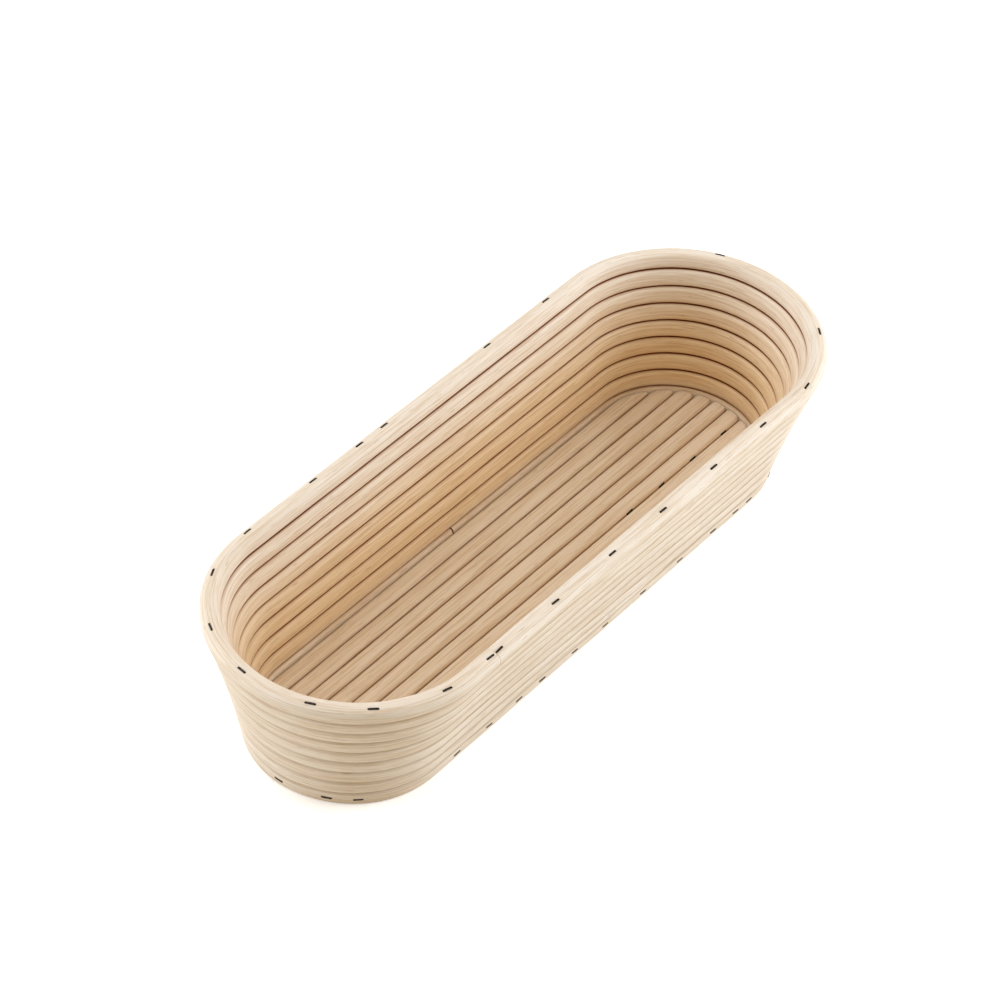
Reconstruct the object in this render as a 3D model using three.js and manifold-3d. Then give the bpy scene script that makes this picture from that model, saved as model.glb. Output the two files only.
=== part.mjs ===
// Long proofing basket: a floor of straight canes in a base ring, a wall wound from one cane,
// a rim cane on top, and wire staples that hold them together.
// Millimetres, +Z up, standing on z = 0, length along X, centred on X and Y.
import * as THREE from 'three';
import { mergeVertices } from 'three/addons/utils/BufferGeometryUtils.js';
import Module from 'manifold-3d';

const wasm = await Module();
wasm.setup();

// Driving dimensions of the canes
const CANE_THICKNESS = 8.45;
const CANE_GAP = 0.45;
const CANE_END_GAP = 0.4;
const STRAIGHT_LENGTH = 243;
const BOTTOM_CANES = 9;
const WALL_TURNS = 7;

// How far the wall leans out at the base ring and at the rim
const BASE_LEAN = THREE.MathUtils.degToRad(11.3);
const RIM_LEAN = THREE.MathUtils.degToRad(19.4);

// The climb of the wall cane on the near long side, and how far from the far bend it starts
const CLIMB_INSET = 26;
const CLIMB_LENGTH = 190;
const TIP_THICKNESS = 1.2;

// Butt joints: the base ring's from the middle of the far long side, the rim's from the near bend
const BASE_JOINT_X = 3;
const RIM_JOINT_INSET = 16;

// Driving dimensions of the staples
const STAPLE_CROWN = 6;
const STAPLE_LEG = 12;
const STAPLE_WIRE = 1.1;
const STAPLE_CLEARANCE = 0.3;
const POCKET_RISE = 0.6;
const JOINT_MARGIN = 1.2;

// Places of the rim and wall staples, driven by hand: shares of the way round the cane
// from the middle of the near long side, first towards +X
const RIM_STAPLE_SHARES = [
  0.019, 0.063, 0.107, 0.148, 0.194, 0.276, 0.389, 0.44, 0.526, 0.546,
  0.583, 0.634, 0.668, 0.706, 0.739, 0.778, 0.808, 0.846, 0.929, 0.976,
];
const WALL_STAPLE_SHARES = [0.426, 0.738, 0.866];

// Places of the base staples: shares of the near long side's half straight from its middle,
// and at the two ends the numbers of the bottom canes that they are driven into
const BASE_SIDE_SHARES = [-0.87, -0.68, -0.5, -0.36, -0.16, 0.03, 0.27, 0.51, 0.73, 0.88, 0.97];
const BASE_NEAR_END_CANES = [2, 5, 7, 8];
const BASE_FAR_END_CANES = [4, 9];

// The row of staples in the groove beside the bottom cane next to the middle one, from its far end
const BOTTOM_STAPLES = 4;
const BOTTOM_STAPLE_INSET = 14;
const BOTTOM_STAPLE_SPACING = 25.4;
const BOTTOM_STAPLE_TILT = THREE.MathUtils.degToRad(20);

// Facets
const ARC_STEPS = 10;
const WOUND_SIDES = 6;
const CANE_SIDES = 12;
const GAP_SAMPLES = 4;

// Values that follow from the driving dimensions
const CANE_PITCH = CANE_THICKNESS + CANE_GAP;
const CANE_RADIUS = CANE_THICKNESS / 2;
const HALF_STRAIGHT = STRAIGHT_LENGTH / 2;
const MIDDLE_CANE = (BOTTOM_CANES + 1) / 2;
const BASE_BEND_RADIUS = MIDDLE_CANE * CANE_PITCH;
const FLOOR_RADIUS = BASE_BEND_RADIUS - CANE_RADIUS - CANE_END_GAP;
const BITE_RADIUS = (FLOOR_RADIUS + BASE_BEND_RADIUS + CANE_RADIUS - STAPLE_LEG) / 2;
const RIM_LEVEL = WALL_TURNS + 1;
const LEAN_PER_LEVEL = (RIM_LEAN - BASE_LEAN) / RIM_LEVEL;
const WALL_CURVE_RADIUS = CANE_PITCH / LEAN_PER_LEVEL;
const CLIMB_START_X = HALF_STRAIGHT - CLIMB_INSET;
const CLIMB_END_X = CLIMB_START_X - CLIMB_LENGTH;
const TIP_SHARE = (TIP_THICKNESS + CANE_GAP) / CANE_PITCH;
const RIM_JOINT_X = RIM_JOINT_INSET - HALF_STRAIGHT;
const QUARTER = Math.PI / 2;
const NEAR_SIDE = -QUARTER;
const FAR_SIDE = QUARTER;

// Colours of the two materials
const caneLook = () => new THREE.MeshStandardMaterial({ color: 0xdcb98c, roughness: 0.6, metalness: 0 });
const stapleLook = () => new THREE.MeshStandardMaterial({ color: 0x1d1a18, roughness: 0.45, metalness: 0.8 });

const basket = new THREE.Group();
basket.name = 'proofing_basket';

// A closed manifold solid of a geometry, moved by a matrix
function solidOf(geometry, matrix) {
  const bare = geometry.clone();
  bare.deleteAttribute('normal');
  bare.deleteAttribute('uv');
  const merged = mergeVertices(bare, 1e-4);
  if (matrix) merged.applyMatrix4(matrix);
  return new wasm.Manifold(new wasm.Mesh({
    numProp: 3,
    vertProperties: new Float32Array(merged.attributes.position.array),
    triVerts: new Uint32Array(merged.index.array),
  }));
}

// The geometry of a manifold solid
function geometryOf(solid) {
  const mesh = solid.getMesh();
  const geometry = new THREE.BufferGeometry();
  geometry.setAttribute('position', new THREE.BufferAttribute(new Float32Array(mesh.vertProperties), 3));
  geometry.setIndex(new THREE.BufferAttribute(new Uint32Array(mesh.triVerts), 1));
  geometry.computeVertexNormals();
  return geometry;
}

// A place round the basket: how far along the straight, and the way the wall faces there
const station = (along, facing) => ({ along, facing });

// The wall's lean at a level, the base ring being level 0
const wallLean = (level) => BASE_LEAN + level * LEAN_PER_LEVEL;

// The bend radius and height of a cane's middle at a level, on the curve of the flaring wall
function bendRadius(level) {
  return BASE_BEND_RADIUS + WALL_CURVE_RADIUS * (Math.cos(BASE_LEAN) - Math.cos(wallLean(level)));
}
function levelHeight(level) {
  return CANE_RADIUS + WALL_CURVE_RADIUS * (Math.sin(wallLean(level)) - Math.sin(BASE_LEAN));
}

// The axes of a cane's section at a station: outwards across the wall, and up along it
function sectionAxes(facing, lean) {
  const out = new THREE.Vector3(Math.cos(facing), Math.sin(facing), 0);
  const across = out.clone().multiplyScalar(Math.cos(lean));
  across.z = -Math.sin(lean);
  const up = out.clone().multiplyScalar(Math.sin(lean));
  up.z = Math.cos(lean);
  return { across, up };
}

// The middle of a cane at a station and level
function caneMiddle({ along, facing }, level) {
  const radius = bendRadius(level);
  return new THREE.Vector3(along + radius * Math.cos(facing), radius * Math.sin(facing), levelHeight(level));
}

// The stations of one end bend, from one long side to the other, clockwise from above
function bendStations(along, startFacing) {
  const stations = [];
  for (let step = 0; step <= ARC_STEPS; step += 1) {
    stations.push(station(along, startFacing - Math.PI * step / ARC_STEPS));
  }
  return stations;
}

// The stations from a point on a long side round both ends and back, clockwise from above
function loopFrom(x, side) {
  const end = Math.sign(side) * HALF_STRAIGHT;
  return [station(x, side), ...bendStations(end, side), ...bendStations(-end, -side), station(x, side)];
}

// The outline of a cane with flats above and below, as points across and up its section
function caneOutline(sides, thickness, width = thickness) {
  const corner = 1 / Math.cos(Math.PI / sides);
  const points = [];
  for (let side = 0; side < sides; side += 1) {
    const angle = 2 * Math.PI * side / sides + (sides % 4 === 0 ? Math.PI / sides : 0);
    points.push([corner * width / 2 * Math.cos(angle), corner * thickness / 2 * Math.sin(angle)]);
  }
  return points;
}

// One unbroken tube through a row of sections, each a ring of points, with flat ends
function tubeGeometry(rings) {
  const sides = rings[0].length;
  const positions = rings.flat().flatMap((point) => point.toArray());
  const index = [];
  for (let ring = 0; ring + 1 < rings.length; ring += 1) {
    for (let side = 0; side < sides; side += 1) {
      const here = ring * sides + side;
      const beside = ring * sides + (side + 1) % sides;
      index.push(here, beside, here + sides, beside, beside + sides, here + sides);
    }
  }
  const last = (rings.length - 1) * sides;
  for (let side = 1; side + 1 < sides; side += 1) {
    index.push(0, side + 1, side, last, last + side, last + side + 1);
  }
  const geometry = new THREE.BufferGeometry();
  geometry.setAttribute('position', new THREE.Float32BufferAttribute(positions, 3));
  geometry.setIndex(index);
  return geometry;
}

// The ring of points where a cane's outline stands at a station and level
function sectionRing(place, level, lean, outline) {
  const { across, up } = sectionAxes(place.facing, lean);
  const middle = caneMiddle(place, level);
  return outline.map(([a, u]) => middle.clone().addScaledVector(across, a).addScaledVector(up, u));
}

// A cane bent once round the basket, its ends butted with the gap between them
function bentCane(loop, level, lean) {
  const outline = caneOutline(CANE_SIDES, CANE_THICKNESS);
  const rings = loop.map((place) => sectionRing(place, level, lean, outline));
  const step = rings[1][0].clone().sub(rings[0][0]).normalize();
  const halfGap = step.multiplyScalar(CANE_GAP / 2);
  rings[0].forEach((point) => point.add(halfGap));
  rings[rings.length - 1].forEach((point) => point.sub(halfGap));
  return tubeGeometry(rings);
}

// The wound cane's sections: level round the basket, one level up at each climb,
// and pared to a thin tip where it starts on the base ring and where it ends under the rim
function wallSections() {
  const sections = [];
  const add = (place, level, thickness) => sections.push({ place, level, thickness });
  const climb = (share) => station(CLIMB_START_X - CLIMB_LENGTH * share, NEAR_SIDE);
  const pared = (share) => share * CANE_PITCH - CANE_GAP;
  [TIP_SHARE, 1].forEach((share) => add(climb(share), (1 + share) / 2, pared(share)));
  for (let turn = 1; turn <= WALL_TURNS; turn += 1) {
    const round = loopFrom(CLIMB_END_X, NEAR_SIDE).slice(1, -1);
    round.forEach((place) => add(place, turn, CANE_THICKNESS));
    const last = turn === WALL_TURNS;
    add(climb(0), turn, CANE_THICKNESS);
    if (!last) add(climb(1), turn + 1, CANE_THICKNESS);
  }
  add(climb(1 - TIP_SHARE), WALL_TURNS + (1 - TIP_SHARE) / 2, pared(TIP_SHARE));
  return sections;
}

// How wide a cane is where it is pared down to a share of its thickness
const paredWidth = (share) => (share < 0.5 ? 2 * Math.sqrt(share * (1 - share)) : 1) * CANE_THICKNESS;

// The tube's rings with more rings between them, on which its gap is measured
function sampledRings(rings) {
  const samples = [];
  for (let ring = 0; ring + 1 < rings.length; ring += 1) {
    for (let sample = 0; sample < GAP_SAMPLES; sample += 1) {
      const share = sample / GAP_SAMPLES;
      samples.push(rings[ring].map((point, side) => point.clone().lerp(rings[ring + 1][side], share)));
    }
  }
  return samples;
}

// The least distance between points of the tube that are half a turn or more apart along it
function leastGap(rings, halfTurn) {
  let least = Infinity;
  for (let i = 0; i + halfTurn < rings.length; i += 1) {
    for (let j = i + halfTurn; j < rings.length; j += 1) {
      for (const p of rings[i]) {
        for (const q of rings[j]) least = Math.min(least, p.distanceToSquared(q));
      }
    }
  }
  return Math.sqrt(least);
}

// Wall cane
function wallCane() {
  const rings = wallSections().map(({ place, level, thickness }) => {
    const outline = caneOutline(WOUND_SIDES, thickness, paredWidth(thickness / CANE_THICKNESS));
    return sectionRing(place, level, wallLean(level), outline);
  });
  const halfTurn = GAP_SAMPLES * (ARC_STEPS + 2);
  console.log(`wall cane: least gap to itself ${leastGap(sampledRings(rings), halfTurn).toFixed(3)} mm`);
  return tubeGeometry(rings);
}

// The floor's outline inside the base ring, with the ring's own facets
function floorOutline() {
  const places = [...bendStations(-HALF_STRAIGHT, NEAR_SIDE), ...bendStations(HALF_STRAIGHT, FAR_SIDE)];
  const points = places.reverse().map(({ along, facing }) => {
    return new THREE.Vector2(along + FLOOR_RADIUS * Math.cos(facing), FLOOR_RADIUS * Math.sin(facing));
  });
  return new THREE.Shape(points);
}

// A straight bottom cane before its ends are cut, lying along X on z = 0
const bottomCaneY = (number) => (MIDDLE_CANE - number) * CANE_PITCH;
function straightCane(number) {
  const reach = HALF_STRAIGHT + BASE_BEND_RADIUS;
  const places = [-reach, reach];
  const outline = caneOutline(CANE_SIDES, CANE_THICKNESS);
  return tubeGeometry(places.map((x) => {
    return outline.map(([a, u]) => new THREE.Vector3(x, bottomCaneY(number) + a, CANE_RADIUS + u));
  }));
}

// The outline of a staple, grown by a clearance, its crown towards +Y of the outline
function stapleShape(grow, crownRise) {
  const outer = STAPLE_CROWN / 2 + grow;
  const inner = STAPLE_CROWN / 2 - STAPLE_WIRE - grow;
  const under = -STAPLE_WIRE - grow;
  const foot = -STAPLE_LEG - grow;
  const shape = new THREE.Shape();
  shape.moveTo(-outer, crownRise);
  shape.lineTo(-outer, foot);
  shape.lineTo(-inner, foot);
  shape.lineTo(-inner, under);
  shape.lineTo(inner, under);
  shape.lineTo(inner, foot);
  shape.lineTo(outer, foot);
  shape.lineTo(outer, crownRise);
  shape.closePath();
  return shape;
}

// A staple, and the pocket that it is driven into, both with the crown's outside at y = 0
function stapleSolid(grow, crownRise) {
  const depth = STAPLE_WIRE + 2 * grow;
  const geometry = new THREE.ExtrudeGeometry(stapleShape(grow, crownRise), { depth, bevelEnabled: false });
  geometry.translate(0, 0, -depth / 2);
  return geometry;
}
const stapleGeometry = stapleSolid(0, 0);
const pocketGeometry = stapleSolid(STAPLE_CLEARANCE, POCKET_RISE);

// A seat for a staple: the crown's middle on the cane's surface, along the cane, legs against `out`
function stapleSeat(middle, alongCane, out) {
  const side = new THREE.Vector3().crossVectors(alongCane, out);
  const seat = new THREE.Matrix4().makeBasis(alongCane, out, side);
  return seat.setPosition(middle.clone().addScaledVector(out, CANE_RADIUS));
}

// A seat on a bent cane, driven `across` it from outside or down it against `up`
function bentCaneSeat(middle, facing, lean, drive) {
  const alongCane = new THREE.Vector3(-Math.sin(facing), Math.cos(facing), 0);
  return stapleSeat(middle, alongCane, sectionAxes(facing, lean)[drive]);
}

// Seats at shares of the way round a cane of the wall or rim, driven down the wall's slope
function seatsRound(level, shares) {
  const corners = loopFrom(0, NEAR_SIDE).reverse().map((place) => caneMiddle(place, level));
  const cane = new THREE.CurvePath();
  for (let corner = 0; corner + 1 < corners.length; corner += 1) {
    cane.add(new THREE.LineCurve3(corners[corner], corners[corner + 1]));
  }
  return shares.map((share) => {
    const along = cane.getTangent(share);
    return bentCaneSeat(cane.getPoint(share), Math.atan2(-along.x, along.y), wallLean(level), 'up');
  });
}

// Seats at places along a long side of a bent cane
function seatsAlongSide(side, level, lean, drive, places) {
  return places.map((x) => bentCaneSeat(caneMiddle(station(x, side), level), side, lean, drive));
}

// The two places beside a butt joint
function besideJoint(x) {
  const offset = STAPLE_CROWN / 2 + STAPLE_CLEARANCE + JOINT_MARGIN;
  return [x - offset, x + offset];
}

// The middle of a bent cane on the facets of an end bend, at any facing
function bendMiddle({ along, facing }, level) {
  const facet = Math.PI / ARC_STEPS;
  const offMiddle = THREE.MathUtils.euclideanModulo(facing + QUARTER, facet) - facet / 2;
  const radius = bendRadius(level) * Math.cos(facet / 2) / Math.cos(offMiddle);
  return new THREE.Vector3(along + radius * Math.cos(facing), radius * Math.sin(facing), levelHeight(level));
}

// Seats of the staples driven through the base ring into the ends of bottom canes
function endSeats(end, canes) {
  return canes.map((number) => {
    const turned = Math.asin(bottomCaneY(number) / BITE_RADIUS);
    const facing = end > 0 ? turned : Math.PI - turned;
    return bentCaneSeat(bendMiddle(station(end, facing), 0), facing, 0, 'across');
  });
}

// Seats of the staples in the groove beside a bottom cane
const STAPLED_CANE = MIDDLE_CANE + 1;
function grooveSeats() {
  const y = bottomCaneY(STAPLED_CANE);
  const caneEnd = HALF_STRAIGHT + Math.sqrt(FLOOR_RADIUS ** 2 - y ** 2);
  const out = new THREE.Vector3(0, -Math.cos(BOTTOM_STAPLE_TILT), Math.sin(BOTTOM_STAPLE_TILT));
  const seats = [];
  for (let number = 0; number < BOTTOM_STAPLES; number += 1) {
    const x = caneEnd - BOTTOM_STAPLE_INSET - number * BOTTOM_STAPLE_SPACING;
    seats.push(stapleSeat(new THREE.Vector3(x, y, CANE_RADIUS), new THREE.Vector3(1, 0, 0), out));
  }
  return seats;
}

// A cane with the pockets of its staples cut out of it
function pocketed(solid, seats) {
  return seats.reduce((rest, seat) => rest.subtract(solidOf(pocketGeometry, seat)), solid);
}

// A named sub-part of the basket
function addPart(name, geometry, look) {
  const mesh = new THREE.Mesh(geometry, look());
  mesh.name = name;
  basket.add(mesh);
  return mesh;
}

// A row of staples in their seats
function addStaples(kind, seats) {
  seats.forEach((seat, index) => {
    const number = String(index + 1).padStart(2, '0');
    const staple = addPart(`${kind}_staple_${number}`, stapleGeometry.clone(), stapleLook);
    seat.decompose(staple.position, staple.quaternion, staple.scale);
  });
}

// The seats of all the staples
const rimSeats = [
  ...seatsRound(RIM_LEVEL, RIM_STAPLE_SHARES),
  ...seatsAlongSide(NEAR_SIDE, RIM_LEVEL, RIM_LEAN, 'up', besideJoint(RIM_JOINT_X)),
];
const baseSidePlaces = BASE_SIDE_SHARES.map((share) => share * HALF_STRAIGHT);
const baseSeats = [
  ...seatsAlongSide(NEAR_SIDE, 0, 0, 'across', baseSidePlaces),
  ...seatsAlongSide(FAR_SIDE, 0, 0, 'across', besideJoint(BASE_JOINT_X)),
  ...endSeats(-HALF_STRAIGHT, BASE_NEAR_END_CANES),
  ...endSeats(HALF_STRAIGHT, BASE_FAR_END_CANES),
];
const wallSeats = seatsRound(1, WALL_STAPLE_SHARES);
const bottomSeats = grooveSeats();

// Bottom canes
const floorDepth = 2 * CANE_THICKNESS;
const floor = new THREE.ExtrudeGeometry(floorOutline(), { depth: floorDepth, bevelEnabled: false });
const floorSolid = solidOf(floor, new THREE.Matrix4().makeTranslation(0, 0, -CANE_RADIUS));
for (let number = 1; number <= BOTTOM_CANES; number += 1) {
  const cut = solidOf(straightCane(number)).intersect(floorSolid);
  const seats = number > STAPLED_CANE ? baseSeats : [...baseSeats, ...bottomSeats];
  const name = `bottom_cane_${String(number).padStart(2, '0')}`;
  addPart(name, geometryOf(pocketed(cut, seats)), caneLook);
}

// Base ring
const baseRing = solidOf(bentCane(loopFrom(BASE_JOINT_X, FAR_SIDE), 0, 0));
addPart('base_ring_cane', geometryOf(pocketed(baseRing, [...baseSeats, ...wallSeats])), caneLook);

// Wall
addPart('wall_cane_coil', geometryOf(pocketed(solidOf(wallCane()), [...wallSeats, ...rimSeats])), caneLook);

// Rim
const rim = solidOf(bentCane(loopFrom(RIM_JOINT_X, NEAR_SIDE), RIM_LEVEL, RIM_LEAN));
addPart('rim_cane', geometryOf(pocketed(rim, rimSeats)), caneLook);

// Staples
addStaples('rim', rimSeats);
addStaples('base', baseSeats);
addStaples('wall', wallSeats);
addStaples('bottom', bottomSeats);

export default basket;
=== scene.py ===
import math
import random

import bpy
from mathutils import Matrix, Vector


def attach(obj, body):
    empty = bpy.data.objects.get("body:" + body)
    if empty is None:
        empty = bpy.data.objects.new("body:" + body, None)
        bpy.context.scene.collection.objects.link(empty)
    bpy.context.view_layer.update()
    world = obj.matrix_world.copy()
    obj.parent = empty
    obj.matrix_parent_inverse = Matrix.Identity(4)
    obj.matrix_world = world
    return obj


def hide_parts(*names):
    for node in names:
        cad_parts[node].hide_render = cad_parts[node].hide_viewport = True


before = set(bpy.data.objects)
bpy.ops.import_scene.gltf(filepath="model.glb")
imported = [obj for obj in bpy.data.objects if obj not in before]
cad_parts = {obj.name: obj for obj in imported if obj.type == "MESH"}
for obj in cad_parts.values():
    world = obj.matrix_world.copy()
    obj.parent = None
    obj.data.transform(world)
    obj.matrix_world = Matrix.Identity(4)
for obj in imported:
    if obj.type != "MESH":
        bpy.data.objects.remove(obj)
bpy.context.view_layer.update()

# Sizes of the basket, in millimetres, the same as those of the solids
MM = 0.001
PITCH = 8.9
HALF_SOLID = 4.225
BASE_HEIGHT = HALF_SOLID
HALF_STRAIGHT = 121.5
BASE_RADIUS = 44.5
BASE_LEAN = math.radians(11.3)
RIM_LEAN = math.radians(19.4)
WALL_TURNS = 7
RIM_LEVEL = 8
LEAN_PER_LEVEL = (RIM_LEAN - BASE_LEAN) / RIM_LEVEL
WALL_CURVE_RADIUS = PITCH / LEAN_PER_LEVEL
BOTTOM_CANES = 9
MIDDLE_CANE = 5
CLIMB_START_X = 95.5
CLIMB_LENGTH = 190.0
CLIMB_END_X = CLIMB_START_X - CLIMB_LENGTH
CLIMB_EASE = 0.15
BASE_JOINT_X = 3.0
RIM_JOINT_X = -105.5
QUARTER = math.pi / 2
NEAR = -QUARTER
FAR = QUARTER

# The dressed canes: they touch, and their sections are squarer than a circle
HALF_CANE = 4.43
CANE_SHAPE = (3.6, 3.6, 3.0, 3.2)
RIM_SHAPE = (3.2, 2.4, 2.4, 2.5)
FLOOR_SHAPE = (3.4, 3.4, 3.4, 3.4)
SIDES = 28
ARC_STEP = math.radians(3.0)
STRAIGHT_STEP = 5.0
CLIMB_STEP = 3.0
RIM_JOINT_GAP = 0.04
BASE_JOINT_GAP = 0.9
RIM_SEED, BASE_RING_SEED, WALL_SEED = 11, 23, 37

# The wall cane's two tips: the share of the climb that is cut off them, and their least thickness
TIP_SHARE = 0.07
THINNEST = 0.03

# Small irregularities of a bent cane: each has its wavelengths in millimetres and its size
WOBBLE_ACROSS = (37, 71, 143), 0.10
WOBBLE_UP = (43, 89, 167), 0.035
SWELL = (29, 61, 131), 0.012
SWELL_SKEW = 11
TONE = (310, 570, 930), 1.0
GRAIN_SPREAD = 40

# Cut ends have a face painted dark inside a thin edge, as painted shade in the joints' gaps, and the base
# ring's top lies open inside the wall
CUT_EDGE = 0.95
GAP_SHADE_SECTION = Vector((1, 0, 0))
OPEN_SIDE = 0.86
RING_OPEN_FROM = 0.7

# The bottom canes: their reach from the middle of a bend, their rounded ends and their irregularities
FLOOR_RADIUS = 39.95
CORNER = 2.2
END_ROUND = 0.5
END_SHRINK = 0.3
END_INSET = 0.4
FLOOR_CLEARANCE = 0.06
BOTTOM_STEP = 0.025
BOTTOM_WOBBLE = (47, 97, 173), 0.05
BOTTOM_LIFT = (59, 113, 211), 0.06
BOTTOM_SWELL = (31, 67, 139), 0.010
BOTTOM_SWELL_SKEW = 13
# The bottom canes' tones lie paler than the wall's, as painted light on the bottom that faces up, and
# differ at random from cane to cane
BOTTOM_TONES_WITH_PAINTED_LIGHT = (-2.6, -0.8)
BOTTOM_TONE_WAVE = (260, 410), 0.35
BOTTOM_GRAIN_START = 50
BOTTOM_SEED = 100

# Staples: the first two sizes are those of the solids, and the wire is drawn a little thinner
CROWN = 6.0
LEG = 12.0
WIRE = 1.0
WIRE_FLAT = 0.7
CROWN_DEPTH = 0.5
WIRE_SIDES = 12
WIRE_SHAPE = 4.0
BEND = 0.9
BEND_STEPS = 6
LEG_TRIM = 1.2
CROWN_RISE = 0.03
PROUD = 0.2
TWIST = 0.06
SINK = 0.05
STAPLE_SEED = 500
RIM_STAPLES, BASE_STAPLES, WALL_STAPLES, BOTTOM_STAPLES = 22, 19, 3, 4
JOINT_PINCH = 1.4
BOTTOM_TILT = math.radians(20)
BOTTOM_RISE = 1.3

# The dents that the staples' crowns press into the canes
DENT_DEPTH = 0.22
DENT_REACH = 5.2
DENT_STEP = 0.7
DENT_END, DENT_END_FADE, DENT_SIDE_FADE = 0.3, 0.9, 0.95


def level_lean(level):
    return BASE_LEAN + level * LEAN_PER_LEVEL


def level_radius(level):
    return BASE_RADIUS + WALL_CURVE_RADIUS * (math.cos(BASE_LEAN) - math.cos(level_lean(level)))


def level_height(level):
    return BASE_HEIGHT + WALL_CURVE_RADIUS * (math.sin(level_lean(level)) - math.sin(BASE_LEAN))


def climb(x):
    """How far the wall cane has climbed to its next level at x on the near side."""
    t = min(max((CLIMB_START_X - x) / CLIMB_LENGTH, 0.0), 1.0)
    e = CLIMB_EASE
    if t < e:
        return t * t / (2 * e * (1 - e))
    if t > 1 - e:
        return 1 - (1 - t) ** 2 / (2 * e * (1 - e))
    return (t - e / 2) / (1 - e)


def wander(rng, waves, size):
    """A smooth seeded wobble along a cane: waves is a list of wavelengths in millimetres."""
    parts = [(2 * math.pi / w, rng.uniform(0, 2 * math.pi), rng.uniform(0.6, 1.0)) for w in waves]
    total = sum(p[2] for p in parts)
    return lambda s: size * sum(a * math.sin(k * s + p) for k, p, a in parts) / total


def nearest_bend_x(point):
    """The x of the nearest point on the straight line between the middles of the two bends."""
    return min(max(point.x, -HALF_STRAIGHT), HALF_STRAIGHT)


def facing_at(point):
    """The way the wall faces at a point, seen from above."""
    past = point.x - nearest_bend_x(point)
    return math.atan2(point.y, past) if abs(past) > 1e-6 else math.copysign(QUARTER, point.y)


def outwards(facing):
    return Vector((math.cos(facing), math.sin(facing), 0))


class Station:
    """A place along a cane: its middle, its section's axes and half sizes."""

    def __init__(self, x, facing, level, half_across=HALF_CANE, half_up=HALF_CANE):
        lean = level_lean(level)
        out = outwards(facing)
        self.middle = Vector((x, 0, level_height(level))) + out * level_radius(level)
        self.across = out * math.cos(lean) - Vector((0, 0, math.sin(lean)))
        self.up = out * math.sin(lean) + Vector((0, 0, math.cos(lean)))
        self.half_across = half_across
        self.half_up = half_up


def steps(start, end, step):
    """Values from start to end, both included, no further apart than step."""
    count = max(1, math.ceil(abs(end - start) / step))
    return [start + (end - start) * i / count for i in range(count + 1)]


def around(x, side, back=True):
    """(x, facing) round the basket from a point on a long side, clockwise from above, and back to it
    or only to the end of the second bend."""
    end = math.copysign(HALF_STRAIGHT, side)
    places = [(v, side) for v in steps(x, end, STRAIGHT_STEP)]
    places += [(end, side - a) for a in steps(0, math.pi, ARC_STEP)][1:]
    places += [(v, side - math.pi) for v in steps(end, -end, STRAIGHT_STEP)][1:]
    places += [(-end, side - math.pi - a) for a in steps(0, math.pi, ARC_STEP)][1:]
    if back:
        places += [(v, side - 2 * math.pi) for v in steps(-end, x, STRAIGHT_STEP)][1:]
    return places


def superellipse(angle, squareness):
    c, s = math.cos(angle), math.sin(angle)
    e = 2 / squareness
    return math.copysign(abs(c) ** e, c), math.copysign(abs(s) ** e, s)


def outline(shape):
    """A cane's section. shape is its squareness inside below and above, then outside above and below."""
    points = []
    for i in range(SIDES):
        angle = 2 * math.pi * i / SIDES
        quarter = (2, 1, 0, 3)[int(4 * i / SIDES)]
        points.append(superellipse(angle, shape[quarter]))
    return points


def linked(name, data):
    """A new object of the scene for a mesh, lamp or camera."""
    item = bpy.data.objects.new(name, data)
    bpy.context.scene.collection.objects.link(item)
    return item


class Shell:
    """Collects the rings of one cane, then makes its mesh, grain coordinates and section attribute."""

    def __init__(self, name):
        self.name = name
        self.rings = []

    def ring(self, points, grain, section):
        self.rings.append((points, grain, section))

    def build(self):
        sides = len(self.rings[0][0])
        verts, grains, sections, faces = [], [], [], []
        for points, grain, section in self.rings:
            verts += points
            grains += grain
            sections += section
        for r in range(len(self.rings) - 1):
            for i in range(sides):
                a, b = r * sides + i, r * sides + (i + 1) % sides
                faces.append((a, b, b + sides, a + sides))
        # The cut ends get a section that the material paints dark, as painted shade in the joints' gaps
        for r, flip in ((0, True), (len(self.rings) - 1, False)):
            ends = list(range(r * sides, (r + 1) * sides))
            middle = sum((verts[i] for i in ends), Vector()) / sides
            first = len(verts)
            verts += [middle + (verts[i] - middle) * CUT_EDGE for i in ends] + [middle]
            grains += [grains[i] for i in ends] + [sum((grains[i] for i in ends), Vector()) / sides]
            sections += [GAP_SHADE_SECTION] * (sides + 1)
            hub = first + sides
            for i in range(sides):
                a, b = ends[i], ends[(i + 1) % sides]
                c, d = first + i, first + (i + 1) % sides
                faces.append((d, b, a, c) if flip else (c, a, b, d))
                faces.append((hub, d, c) if flip else (hub, c, d))
        mesh = bpy.data.meshes.new(self.name)
        mesh.from_pydata([v * MM for v in verts], [], faces)
        for name, values in (("grain", grains), ("section", sections)):
            layer = mesh.attributes.new(name, "FLOAT_VECTOR", "POINT")
            layer.data.foreach_set("vector", [c for v in values for c in v])
        mesh.shade_smooth()
        for face in mesh.polygons[(len(self.rings) - 1) * sides:]:
            face.use_smooth = False
        return linked(self.name, mesh)


def dent(point, dents):
    """A point pressed in where a staple's crown bears on the cane."""
    moved = Vector(point)
    for middle, along, out in dents:
        offset = point - middle
        if offset.length > DENT_REACH + 1:
            continue
        lengthways = max(0.0, abs(offset.dot(along)) - CROWN / 2 + DENT_END)
        sideways = offset.dot(along.cross(out))
        fade = -(lengthways / DENT_END_FADE) ** 2 - (sideways / DENT_SIDE_FADE) ** 2
        moved -= out * (DENT_DEPTH * math.exp(fade))
    return moved


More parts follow.
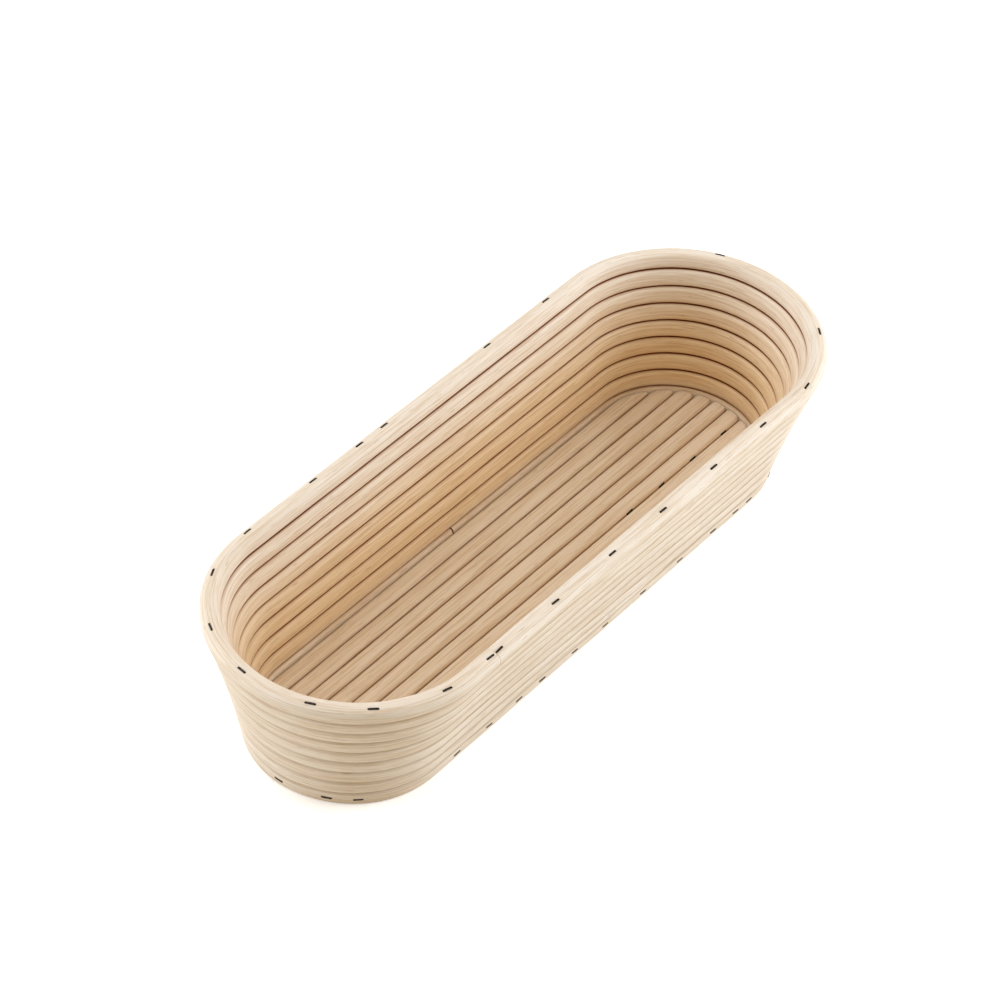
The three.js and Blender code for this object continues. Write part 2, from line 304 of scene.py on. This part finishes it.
def bent_cane(name, stations, seed, shape, dents=(), seams=(1, 1), open_from=1.0):
    """A cane swept through its stations, with its own small wobbles. seams tells whether it has a
    neighbour below and above, and open_from where its top lies open, on the way to its inner edge."""
    rng = random.Random(seed)
    section_points = outline(shape)
    wobble_across = wander(rng, *WOBBLE_ACROSS)
    wobble_up = wander(rng, *WOBBLE_UP)
    swell = wander(rng, *SWELL)
    start = rng.uniform(0, GRAIN_SPREAD)
    tone = wander(rng, *TONE)
    shell = Shell(name)
    s = 0.0
    for index, place in enumerate(stations):
        if index:
            s += (place.middle - stations[index - 1].middle).length
        middle = place.middle + place.across * wobble_across(s) + place.up * wobble_up(s)
        points, grain, section = [], [], []
        for ca, cu in section_points:
            a = ca * place.half_across * (1 + swell(s + SWELL_SKEW * ca))
            u = cu * place.half_up
            point = middle + place.across * a + place.up * u
            point.z = max(point.z, 0.0)
            points.append(dent(point, dents))
            grain.append(Vector((start + s * MM, a * MM, u * MM)))
            beside = cu * seams[cu > 0]
            if -ca > open_from:
                beside = min(beside, OPEN_SIDE)
            section.append(Vector((beside, -ca, tone(s))))
        shell.ring(points, grain, section)
    return shell.build()


def node_points(name):
    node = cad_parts[name]
    return [node.matrix_world @ v.co / MM for v in node.data.vertices]


def staple_seats(kind, count, way_out, radius=None):
    """Seats from the solids. way_out(middle) gives the way out of the cane near a point, and radius is
    that of the crowns round the bends, where the solids have facets and the dressed canes are round."""
    seats = []
    for number in range(1, count + 1):
        name = f"{kind}_staple_{number:02d}"
        points = node_points(name)
        out = way_out(sum(points, Vector()) / len(points))
        reach = max(p.dot(out) for p in points)
        crown = [p for p in points if p.dot(out) > reach - CROWN_DEPTH]
        middle = sum(crown, Vector()) / len(crown)
        along = Vector((-out.y, out.x, 0)).normalized()
        if radius:
            flat = outwards(facing_at(middle))
            bend = Vector((nearest_bend_x(middle), 0, 0))
            middle += flat * (radius - flat.dot(middle - bend))
        seats.append((name, middle, along, out))
    return seats


def up_wall(level):
    lean = level_lean(level)

    def out(point):
        f = facing_at(point)
        return Vector((math.cos(f) * math.sin(lean), math.sin(f) * math.sin(lean), math.cos(lean)))

    return out


def out_of_base(point):
    return outwards(facing_at(point))


def out_of_groove(point):
    return Vector((0, -math.cos(BOTTOM_TILT), math.sin(BOTTOM_TILT)))


def pinched(seats, joint):
    """The two staples beside a joint drawn closer to it."""
    moved = []
    for name, middle, along, out in seats:
        if (middle - joint).length < CROWN + LEG / 2:
            middle = middle + along * math.copysign(JOINT_PINCH, (joint - middle).dot(along))
        moved.append((name, middle, along, out))
    return moved


def raised(seats, rise):
    return [(name, middle + Vector((0, 0, rise)), along, out) for name, middle, along, out in seats]


RIM_JOINT = Vector((RIM_JOINT_X, -level_radius(RIM_LEVEL), level_height(RIM_LEVEL)))
RIM_CROWN_RADIUS = level_radius(RIM_LEVEL) + BASE_HEIGHT * math.sin(RIM_LEAN)
rim_seats = pinched(staple_seats("rim", RIM_STAPLES, up_wall(RIM_LEVEL), RIM_CROWN_RADIUS), RIM_JOINT)
base_seats = staple_seats("base", BASE_STAPLES, out_of_base, BASE_RADIUS + BASE_HEIGHT)
wall_seats = staple_seats("wall", WALL_STAPLES, up_wall(1))
bottom_seats = raised(staple_seats("bottom", BOTTOM_STAPLES, out_of_groove), BOTTOM_RISE)


def dented_loop(x, side, seats):
    """Places once round the basket, closer together where staples dent the cane."""
    places = around(x, side)
    wanted = []
    for _, middle, _, _ in seats:
        for turn in (-2, -1, 0, 1):
            wanted.append((nearest_bend_x(middle), facing_at(middle) + 2 * math.pi * turn))
    dense = []
    for k, (x0, f0) in enumerate(places):
        dense.append((x0, f0))
        if k + 1 < len(places):
            x1, f1 = places[k + 1]
            count = max(1, math.ceil((abs(x1 - x0) + abs(f1 - f0) * BASE_RADIUS) / DENT_STEP))
            for i in range(1, count):
                t = i / count
                xm, fm = x0 + (x1 - x0) * t, f0 + (f1 - f0) * t
                if any(abs(xm - wx) + abs(fm - wf) * BASE_RADIUS < DENT_REACH for wx, wf in wanted):
                    dense.append((xm, fm))
    return dense


def dents_of(seats):
    return [(middle + out * (HALF_CANE - HALF_SOLID), along, out) for _, middle, along, out in seats]


def joined(stations, gap):
    """Butts the two ends of a bent cane, a small gap apart."""
    step = (stations[1].middle - stations[0].middle).normalized() * gap / 2
    stations[0].middle += step
    stations[-1].middle -= step
    return stations


pieces = {}


def stand_for(piece, node):
    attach(piece, "root")
    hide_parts(node)
    pieces[node] = piece


# Rim
rim_stations = [Station(x, f, RIM_LEVEL) for x, f in dented_loop(RIM_JOINT_X, NEAR, rim_seats)]
rim = bent_cane("rim", joined(rim_stations, RIM_JOINT_GAP), RIM_SEED, RIM_SHAPE,
                dents_of(rim_seats), seams=(1, 0))
stand_for(rim, "rim_cane")

# Base ring
base_stations = [Station(x, f, 0) for x, f in dented_loop(BASE_JOINT_X, FAR, base_seats)]
base_ring = bent_cane("base_ring", joined(base_stations, BASE_JOINT_GAP), BASE_RING_SEED, CANE_SHAPE,
                      dents_of(base_seats), seams=(0, 1), open_from=RING_OPEN_FROM)
stand_for(base_ring, "base_ring_cane")


# Wall
def pared(x, level, share):
    """A station where the wall cane is pared down to a share of its thickness."""
    width = 2 * math.sqrt(share * (1 - share)) if share < 0.5 else 1.0
    return Station(x, NEAR, level, width * HALF_CANE, share * HALF_CANE)


def wall_stations():
    stations = []
    for x in steps(CLIMB_START_X - CLIMB_LENGTH * TIP_SHARE, CLIMB_END_X, CLIMB_STEP):
        share = max(climb(x), THINNEST)
        stations.append(pared(x, (1 + share) / 2, share))
    for turn in range(1, WALL_TURNS + 1):
        loop = around(CLIMB_END_X, NEAR, back=False)
        stations += [Station(x, f, turn) for x, f in loop[1:]]
        if turn < WALL_TURNS:
            for x in steps(CLIMB_START_X, CLIMB_END_X, CLIMB_STEP):
                stations.append(Station(x, NEAR, turn + climb(x)))
    for x in steps(CLIMB_START_X, CLIMB_START_X - CLIMB_LENGTH * (1 - TIP_SHARE), CLIMB_STEP):
        share = max(1 - climb(x), THINNEST)
        stations.append(pared(x, WALL_TURNS + (1 - share) / 2, share))
    return stations


wall = bent_cane("wall", wall_stations(), WALL_SEED, CANE_SHAPE)
stand_for(wall, "wall_cane_coil")


# Bottom canes
def floor_reach(y):
    return HALF_STRAIGHT + math.sqrt(max(FLOOR_RADIUS ** 2 - y * y, 0.0))


def cane_end(y_cane, a):
    """How far a bottom cane reaches towards an end of the basket at a place across it."""
    into = max(0.0, abs(a) - (HALF_CANE - CORNER))
    return floor_reach(y_cane + a) - (CORNER - math.sqrt(max(CORNER ** 2 - into ** 2, 0.0)))


def bottom_cane(number):
    rng = random.Random(BOTTOM_SEED + number)
    y = (MIDDLE_CANE - number) * PITCH
    shape = outline(FLOOR_SHAPE)
    wobble = wander(rng, *BOTTOM_WOBBLE)
    lift = wander(rng, *BOTTOM_LIFT)
    swell = wander(rng, *BOTTOM_SWELL)
    start = BOTTOM_GRAIN_START + rng.uniform(0, GRAIN_SPREAD)
    tone = rng.uniform(*BOTTOM_TONES_WITH_PAINTED_LIGHT)
    tone_wave = wander(rng, *BOTTOM_TONE_WAVE)
    shell = Shell(f"bottom_{number:02d}")
    lengthways = [(None, t) for t in steps(-1, 1, BOTTOM_STEP)]
    for end, part in [(-1, 1), (-1, 0)] + lengthways + [(1, 0), (1, 1)]:
        points, grain, section = [], [], []
        for ca, cu in shape:
            a, u = ca * HALF_CANE, cu * (HALF_CANE - FLOOR_CLEARANCE)
            if end is not None:
                shrink = 1 - END_ROUND / HALF_CANE * (1 if part else END_SHRINK)
                a, u = a * shrink, u * shrink
            reach = cane_end(y, a)
            if end is None:
                x = part * (reach - END_ROUND)
            else:
                x = end * (reach - (0 if part else END_ROUND * END_INSET))
            a *= 1 + swell(x + BOTTOM_SWELL_SKEW * ca)
            point = Vector((x, y + a + wobble(x), BASE_HEIGHT + u + lift(x)))
            point.z = max(point.z, 0.0)
            points.append(point)
            grain.append(Vector((start + x * MM, a * MM, u * MM)))
            section.append(Vector((ca, cu, tone + tone_wave(x))))
        shell.ring(points, grain, section)
    return shell.build()


for number in range(1, BOTTOM_CANES + 1):
    stand_for(bottom_cane(number), f"bottom_cane_{number:02d}")


# Staples: flattened wire with rounded shoulders
def staple_path():
    """(place along the crown, place outwards, turn) from the tip of one leg to the tip of the other."""
    half = CROWN / 2 - WIRE / 2
    turns = [QUARTER * i / BEND_STEPS for i in range(1, BEND_STEPS)]
    rise = [(half - BEND * (1 - math.cos(t)), -BEND + BEND * math.sin(t), t) for t in turns]
    path = [(-half, -LEG + LEG_TRIM, 0), (-half, -BEND, 0)]
    path += [(-place, out, turn) for place, out, turn in rise]
    path += [(-half + BEND, 0, QUARTER), (0, CROWN_RISE, QUARTER), (half - BEND, 0, QUARTER)]
    path += [(place, out, math.pi - turn) for place, out, turn in reversed(rise)]
    path += [(half, -BEND, math.pi), (half, -LEG + LEG_TRIM, math.pi)]
    return path


def wire_section():
    turns = [2 * math.pi * i / WIRE_SIDES + math.pi / WIRE_SIDES for i in range(WIRE_SIDES)]
    return [superellipse(turn, WIRE_SHAPE) for turn in turns]


def staple(name, middle, along, out, seed):
    rng = random.Random(seed)
    side = along.cross(out)
    twist = rng.uniform(-TWIST, TWIST)
    along = (along * math.cos(twist) + side * math.sin(twist)).normalized()
    side = along.cross(out)
    height = PROUD + HALF_CANE - HALF_SOLID - WIRE_FLAT / 2 + rng.uniform(-SINK, SINK)
    origin = middle + out * height
    path = staple_path()
    verts, faces = [], []
    for px, py, turn in path:
        for fa, fs in wire_section():
            w = fa * WIRE_FLAT / 2
            point = origin + along * (px - math.cos(turn) * w) + out * (py + math.sin(turn) * w)
            verts.append((point + side * (fs * WIRE / 2)) * MM)
    for r in range(len(path) - 1):
        for i in range(WIRE_SIDES):
            a, b = r * WIRE_SIDES + i, r * WIRE_SIDES + (i + 1) % WIRE_SIDES
            faces.append((a, b, b + WIRE_SIDES, a + WIRE_SIDES))
    last = (len(path) - 1) * WIRE_SIDES
    faces.append(tuple(reversed(range(WIRE_SIDES))))
    faces.append(tuple(range(last, last + WIRE_SIDES)))
    mesh = bpy.data.meshes.new(name)
    mesh.from_pydata(verts, [], faces)
    mesh.shade_smooth()
    return linked(name, mesh)


for index, (node, middle, along, out) in enumerate(rim_seats + base_seats + wall_seats + bottom_seats):
    piece = staple("wire_" + node, middle, along, out, STAPLE_SEED + index)
    stand_for(piece, node)


# Materials
class Nodes:
    """Short ways to add and join the nodes of one material."""

    def __init__(self, name):
        self.material = bpy.data.materials.new(name)
        self.material.use_nodes = True
        self.tree = self.material.node_tree
        self.tree.nodes.clear()

    def add(self, kind, inputs=(), **settings):
        node = self.tree.nodes.new("ShaderNode" + kind)
        for key, value in settings.items():
            setattr(node, key, value)
        for key, value in dict(inputs).items():
            if isinstance(value, bpy.types.NodeSocket):
                self.tree.links.new(value, node.inputs[key])
            else:
                node.inputs[key].default_value = value
        return node

    def attribute(self, name):
        return self.add("Attribute", attribute_name=name).outputs["Vector"]

    def where(self):
        return self.add("TexCoord").outputs["Object"]

    def parts(self, vector):
        return self.add("SeparateXYZ", {0: vector}).outputs

    def math(self, operation, a, b=0.0, c=0.0, clamp=False):
        node = self.add("Math", {0: a, 1: b, 2: c}, operation=operation, use_clamp=clamp)
        return node.outputs[0]

    def times(self, a, b):
        return self.math("MULTIPLY", a, b)

    def noise(self, vector, scale, detail=3.0, rough=0.5):
        stretched = self.add("VectorMath", {0: vector, 1: scale}, operation="MULTIPLY").outputs[0]
        settings = {"Vector": stretched, "Scale": 1.0, "Detail": detail, "Roughness": rough}
        return self.add("TexNoise", settings).outputs[0]

    def range(self, value, low, high, to_low=0.0, to_high=1.0, smooth=True):
        kind = "SMOOTHSTEP" if smooth else "LINEAR"
        settings = {0: value, 1: low, 2: high, 3: to_low, 4: to_high}
        return self.add("MapRange", settings, interpolation_type=kind).outputs[0]

    def mix(self, factor, a, b, blend="MIX"):
        node = self.add("Mix", {0: factor, 6: a, 7: b}, data_type="RGBA", blend_type=blend)
        return node.outputs[2]

    def surface(self, colour, rough, relief, strength, distance):
        """The material's shader, with its bump."""
        bump = self.add("Bump", {"Strength": strength, "Distance": distance, "Height": relief}).outputs[0]
        return self.add("BsdfPrincipled", {"Base Color": colour, "Roughness": rough, "Normal": bump})

    def finish(self, shader):
        self.tree.links.new(shader.outputs[0], self.add("OutputMaterial").inputs[0])
        return self.material


WHITE = (1, 1, 1, 1)

# Colours of the cane, from its ground to the stain in its seams, with the tints and browns of its painted
# light and shade among them
PALE_CANE, TAN_CANE = (0.88, 0.81, 0.73, 1), (0.785, 0.67, 0.54, 1)
DARK_FIBRE, PALE_FIBRE = (0.66, 0.49, 0.32, 1), (0.92, 0.87, 0.79, 1)
PORE_BROWN = (0.45, 0.27, 0.13, 1)
# Painted light and shade: the outside is tinted a little paler and cooler, as lit, and the inside darker
# and warmer towards the bottom, as shade
OUTSIDE_LIGHT_TINT, DEPTH_SHADE_TINT = (1.0, 1.02, 1.035, 1), (0.95, 0.797, 0.57, 1)
# The first two browns here are painted shade, a band beside the seams inside and a line along the outer
# shoulder; the third is the seams' stain, also used as painted shade on the cut ends
SEAM_SHADE_BROWN, GROOVE_SHADE_BROWN, SEAM_STAIN_AND_GAP_SHADE = (0.62, 0.36, 0.17, 1), (0.36, 0.23, 0.12, 1), (0.24, 0.05, 0.01, 1)
STREAK_STRENGTH, PALE_STRENGTH, PORE_STRENGTH = 0.64, 0.52, 0.48
# Strengths of the outer seams' stain, which also paints the cut ends dark as painted shade, of the inner
# seams' stain, and of the painted shade beside the seams and along the outer shoulder
OUTER_SEAM_AND_GAP_SHADE_STRENGTH, INNER_SEAM_STRENGTH, SEAM_SHADE_STRENGTH, GROOVE_SHADE_STRENGTH = 0.75, 0.96, 0.34, 0.52

# How much of the painted depth shade, the seams' stain and the painted shade beside the seams the bottom
# has, as a share of the wall's
FLOOR_DEPTH_SHADE, FLOOR_SEAM, FLOOR_SEAM_SHADE = 0.6, 0.6, 0.4

# Heights and lengths in metres: where the inside's painted shade begins and where it is full, where the
# bottom ends and the wall begins, and where the painted shade lines on the outside fade round the bends
DEPTH_SHADE_FROM, DEPTH_SHADE_TO = 0.080, 0.028
FLOOR_TOP, WALL_FROM = 0.0095, 0.016
SHADE_LINES_FADE_FROM, SHADE_LINES_FADE_TO = 0.115, 0.155
SHADE_LINES_ON_BENDS = 0.3

# Scales of the cane's noises, along the grain and then twice across it
BROAD_GRAIN, FIBRE_GRAIN, FINE_GRAIN = (9.0, 260.0, 260.0), (26.0, 1300.0, 1300.0), (60.0, 3200.0, 3200.0)
PORE_GRAIN, BLOTCH_GRAIN = (110.0, 2100.0, 2100.0), (14.0, 60.0, 60.0)


def cane_material():
    """Peeled rattan. The section attribute gives how near a point is to the seams above and below,
    how far it faces the inside, and the cane's tone there."""
    n = Nodes("rattan")
    grain = n.attribute("grain")
    side, face, tone = n.parts(n.attribute("section"))
    inside = n.range(face, -0.6, 0.1)

    broad = n.noise(grain, BROAD_GRAIN, 2.0)
    fibre = n.noise(grain, FIBRE_GRAIN, 3.0, 0.6)
    fine = n.noise(grain, FINE_GRAIN, 2.0, 0.6)
    pores = n.noise(grain, PORE_GRAIN, 1.0)
    blotch = n.noise(grain, BLOTCH_GRAIN, 3.0)

    # Ground, fibres and pores
    shade = n.math("MULTIPLY_ADD", tone, 0.16, 0.5)
    shade = n.math("ADD", shade, n.math("MULTIPLY_ADD", blotch, 0.9, -0.45))
    shade = n.math("ADD", shade, n.math("MULTIPLY_ADD", broad, 0.8, -0.4), clamp=True)
    colour = n.mix(shade, PALE_CANE, TAN_CANE)
    streak = n.range(fibre, 0.43, 0.63)
    colour = n.mix(n.times(streak, STREAK_STRENGTH), colour, DARK_FIBRE)
    colour = n.mix(n.range(fine, 0.45, 0.66, 0.0, PALE_STRENGTH), colour, PALE_FIBRE)
    pore = n.range(pores, 0.66, 0.76)
    colour = n.mix(n.times(pore, PORE_STRENGTH), colour, PORE_BROWN)

    # Painted shade and light: the inside is tinted darker and warmer towards the bottom, as shade and warm
    # bounce light gather there, and the outside a little paler and cooler, as lit
    x, _, height = n.parts(n.where())
    above_floor = n.range(height, FLOOR_TOP, WALL_FROM)

    def less_on_floor(value, share):
        return n.times(value, n.math("MULTIPLY_ADD", above_floor, 1 - share, share))

    depth_shade = less_on_floor(n.range(height, DEPTH_SHADE_FROM, DEPTH_SHADE_TO), FLOOR_DEPTH_SHADE)
    outside = n.mix(n.range(face, -0.2, -0.7), WHITE, OUTSIDE_LIGHT_TINT)
    warm = n.mix(n.times(inside, depth_shade), outside, DEPTH_SHADE_TINT)
    colour = n.mix(1.0, colour, warm, "MULTIPLY")

    # Stain in the seams; painted shade in a band beside them inside, and in a line along the outer shoulder
    # where the groove between canes falls into shadow, fading round the bends. The stain also paints the
    # cut ends dark, as painted shade in the joints' gaps.
    beside = n.math("ABSOLUTE", side)
    outer_seam_and_gap_shade = n.times(n.range(beside, 0.92, 0.995), OUTER_SEAM_AND_GAP_SHADE_STRENGTH)
    inner_seam = n.times(n.range(beside, 0.885, 0.955), n.range(face, -0.5, 0.4, 0.0, INNER_SEAM_STRENGTH))
    seam_stain_and_gap_shade = n.math("MAXIMUM", outer_seam_and_gap_shade, less_on_floor(inner_seam, FLOOR_SEAM))
    seam_shade = n.times(n.range(beside, 0.72, 0.92), n.range(face, -0.2, 0.5, 0.0, SEAM_SHADE_STRENGTH))
    groove_shade_line = n.times(n.range(side, 0.63, 0.76), n.range(face, 0.0, -0.4, 0.0, GROOVE_SHADE_STRENGTH))
    straight = n.range(n.math("ABSOLUTE", x), SHADE_LINES_FADE_FROM, SHADE_LINES_FADE_TO, 1.0, SHADE_LINES_ON_BENDS)
    colour = n.mix(less_on_floor(seam_shade, FLOOR_SEAM_SHADE), colour, SEAM_SHADE_BROWN)
    colour = n.mix(n.times(groove_shade_line, straight), colour, GROOVE_SHADE_BROWN)
    colour = n.mix(seam_stain_and_gap_shade, colour, SEAM_STAIN_AND_GAP_SHADE)

    rough = n.range(fibre, 0.3, 0.7, 0.50, 0.66, False)
    rough = n.math("MULTIPLY_ADD", seam_stain_and_gap_shade, 0.3, rough)
    relief = n.math("ADD", n.times(fibre, 0.6), n.times(fine, 0.4))
    relief = n.math("SUBTRACT", relief, n.times(pore, 0.5))
    shader = n.surface(colour, rough, relief, 0.5, 0.00025)
    shader.inputs["Specular IOR Level"].default_value = 0.35
    return n.finish(shader)


DARK_WIRE, WORN_WIRE = (0.018, 0.016, 0.015, 1), (0.075, 0.058, 0.045, 1)
WIRE_GRAIN = (900.0, 900.0, 900.0)


def wire_material():
    n = Nodes("staple_steel")
    wear = n.noise(n.where(), WIRE_GRAIN, 3.0)
    colour = n.mix(n.range(wear, 0.45, 0.7), DARK_WIRE, WORN_WIRE)
    rough = n.range(wear, 0.3, 0.7, 0.32, 0.55, False)
    shader = n.surface(colour, rough, wear, 0.2, 0.0001)
    shader.inputs["Metallic"].default_value = 0.75
    return n.finish(shader)


cane_look = cane_material()
wire_look = wire_material()
for node, piece in pieces.items():
    piece.data.materials.append(wire_look if "staple" in node else cane_look)

# Floor: seen as white with the basket's shadow, and pale brown in the light that it throws back
FLOOR_BOUNCE = (0.82, 0.75, 0.64, 1)
FLOOR_GLOW = 0.4
FLOOR_HALF = 6.0
FLOOR_HEIGHT = -0.0002


def floor_material():
    n = Nodes("studio_floor")
    path = n.add("LightPath").outputs
    seen = n.math("MAXIMUM", path["Is Camera Ray"], path["Is Glossy Ray"], clamp=True)
    seen = n.math("MAXIMUM", seen, path["Is Transmission Ray"])
    plain = n.add("BsdfDiffuse", {"Color": FLOOR_BOUNCE}).outputs[0]
    bright = n.add("BsdfDiffuse", {"Color": WHITE}).outputs[0]
    x, y, _ = n.parts(n.where())
    past = n.math("MAXIMUM", n.math("SUBTRACT", n.math("ABSOLUTE", x), HALF_STRAIGHT * MM), 0.0)
    off = n.math("MULTIPLY_ADD", past, past, n.times(y, y))
    strength = n.times(n.math("GREATER_THAN", off, (BASE_RADIUS * MM) ** 2), FLOOR_GLOW)
    glow = n.add("Emission", {"Color": WHITE, "Strength": strength}).outputs[0]
    lifted = n.add("AddShader", {0: bright, 1: glow}).outputs[0]
    return n.finish(n.add("MixShader", {0: seen, 1: plain, 2: lifted}))


def studio_floor():
    mesh = bpy.data.meshes.new("floor")
    signs = ((-1, -1), (1, -1), (1, 1), (-1, 1))
    corners = [(sx * FLOOR_HALF, sy * FLOOR_HALF, FLOOR_HEIGHT) for sx, sy in signs]
    mesh.from_pydata(corners, [], [(0, 1, 2, 3)])
    mesh.materials.append(floor_material())
    floor = linked("floor", mesh)


studio_floor()

# Light: cool soft boxes, by direction, elevation in degrees and power in watts, in a warm room
LAMP_DISTANCE = 1.7
LAMP_SIZE = 1.1
LAMP_COLOUR = (0.93, 1.0, 1.10)
SOFTBOXES = {
    "right_softbox": ((0.68, -0.73), 22, 22.3),
    "low_left_softbox": ((-0.75, 0.66), 10, 17.0),
    "high_left_softbox": ((-0.15, 0.99), 50, 11.3),
    "top_softbox": ((-0.2, -0.2), 85, 5.5),
}
ROOM_COLOUR = (1.0, 0.78, 0.47, 1)
ROOM_STRENGTH = 0.375


def softbox(name, direction, elevation, watts):
    lamp = bpy.data.lights.new(name, "AREA")
    lamp.shape = "SQUARE"
    lamp.size = LAMP_SIZE
    lamp.energy = watts
    lamp.color = LAMP_COLOUR
    flat = Vector((direction[0], direction[1], 0)).normalized()
    back = flat * math.cos(elevation) + Vector((0, 0, math.sin(elevation)))
    box = linked(name, lamp)
    box.location = back * LAMP_DISTANCE
    box.rotation_euler = back.to_track_quat("Z", "Y").to_euler()


for name, (direction, degrees, watts) in SOFTBOXES.items():
    softbox(name, direction, math.radians(degrees), watts)

world = bpy.data.worlds.new("studio")
world.use_nodes = True
background = world.node_tree.nodes["Background"]
background.inputs["Color"].default_value = ROOM_COLOUR
background.inputs["Strength"].default_value = ROOM_STRENGTH
bpy.context.scene.world = world

# Camera at the photograph's viewing angle: angles in radians, lengths in metres, focus in pixels
CAMERA_TURN, CAMERA_HEIGHT, CAMERA_ROLL = -0.9585, 0.7386, 0.0803
CAMERA_DISTANCE, CAMERA_FOCUS = 1.8615, 3993.86
SHIFT_RIGHT, SHIFT_UP = 0.00758, -0.04027
IMAGE_SIZE = 1000
SENSOR = 36.0


def photo_camera():
    flat = math.cos(CAMERA_HEIGHT)
    back = Vector((math.sin(CAMERA_TURN) * flat, -math.cos(CAMERA_TURN) * flat, math.sin(CAMERA_HEIGHT)))
    level_right = (-back).cross(Vector((0, 0, 1))).normalized()
    level_up = level_right.cross(-back)
    c, s = math.cos(CAMERA_ROLL), math.sin(CAMERA_ROLL)
    right, up = level_right * c + level_up * s, level_up * c - level_right * s
    place = back * CAMERA_DISTANCE - right * SHIFT_RIGHT - up * SHIFT_UP
    lens = bpy.data.cameras.new("photo_camera")
    lens.sensor_width = SENSOR
    lens.lens = SENSOR * CAMERA_FOCUS / IMAGE_SIZE
    lens.clip_start, lens.clip_end = 0.05, 50.0
    camera = linked("photo_camera", lens)
    camera.matrix_world = Matrix((
        (right.x, up.x, back.x, place.x),
        (right.y, up.y, back.y, place.y),
        (right.z, up.z, back.z, place.z),
        (0, 0, 0, 1),
    ))
    bpy.context.scene.camera = camera


photo_camera()
bpy.context.scene.view_settings.view_transform = "Standard"
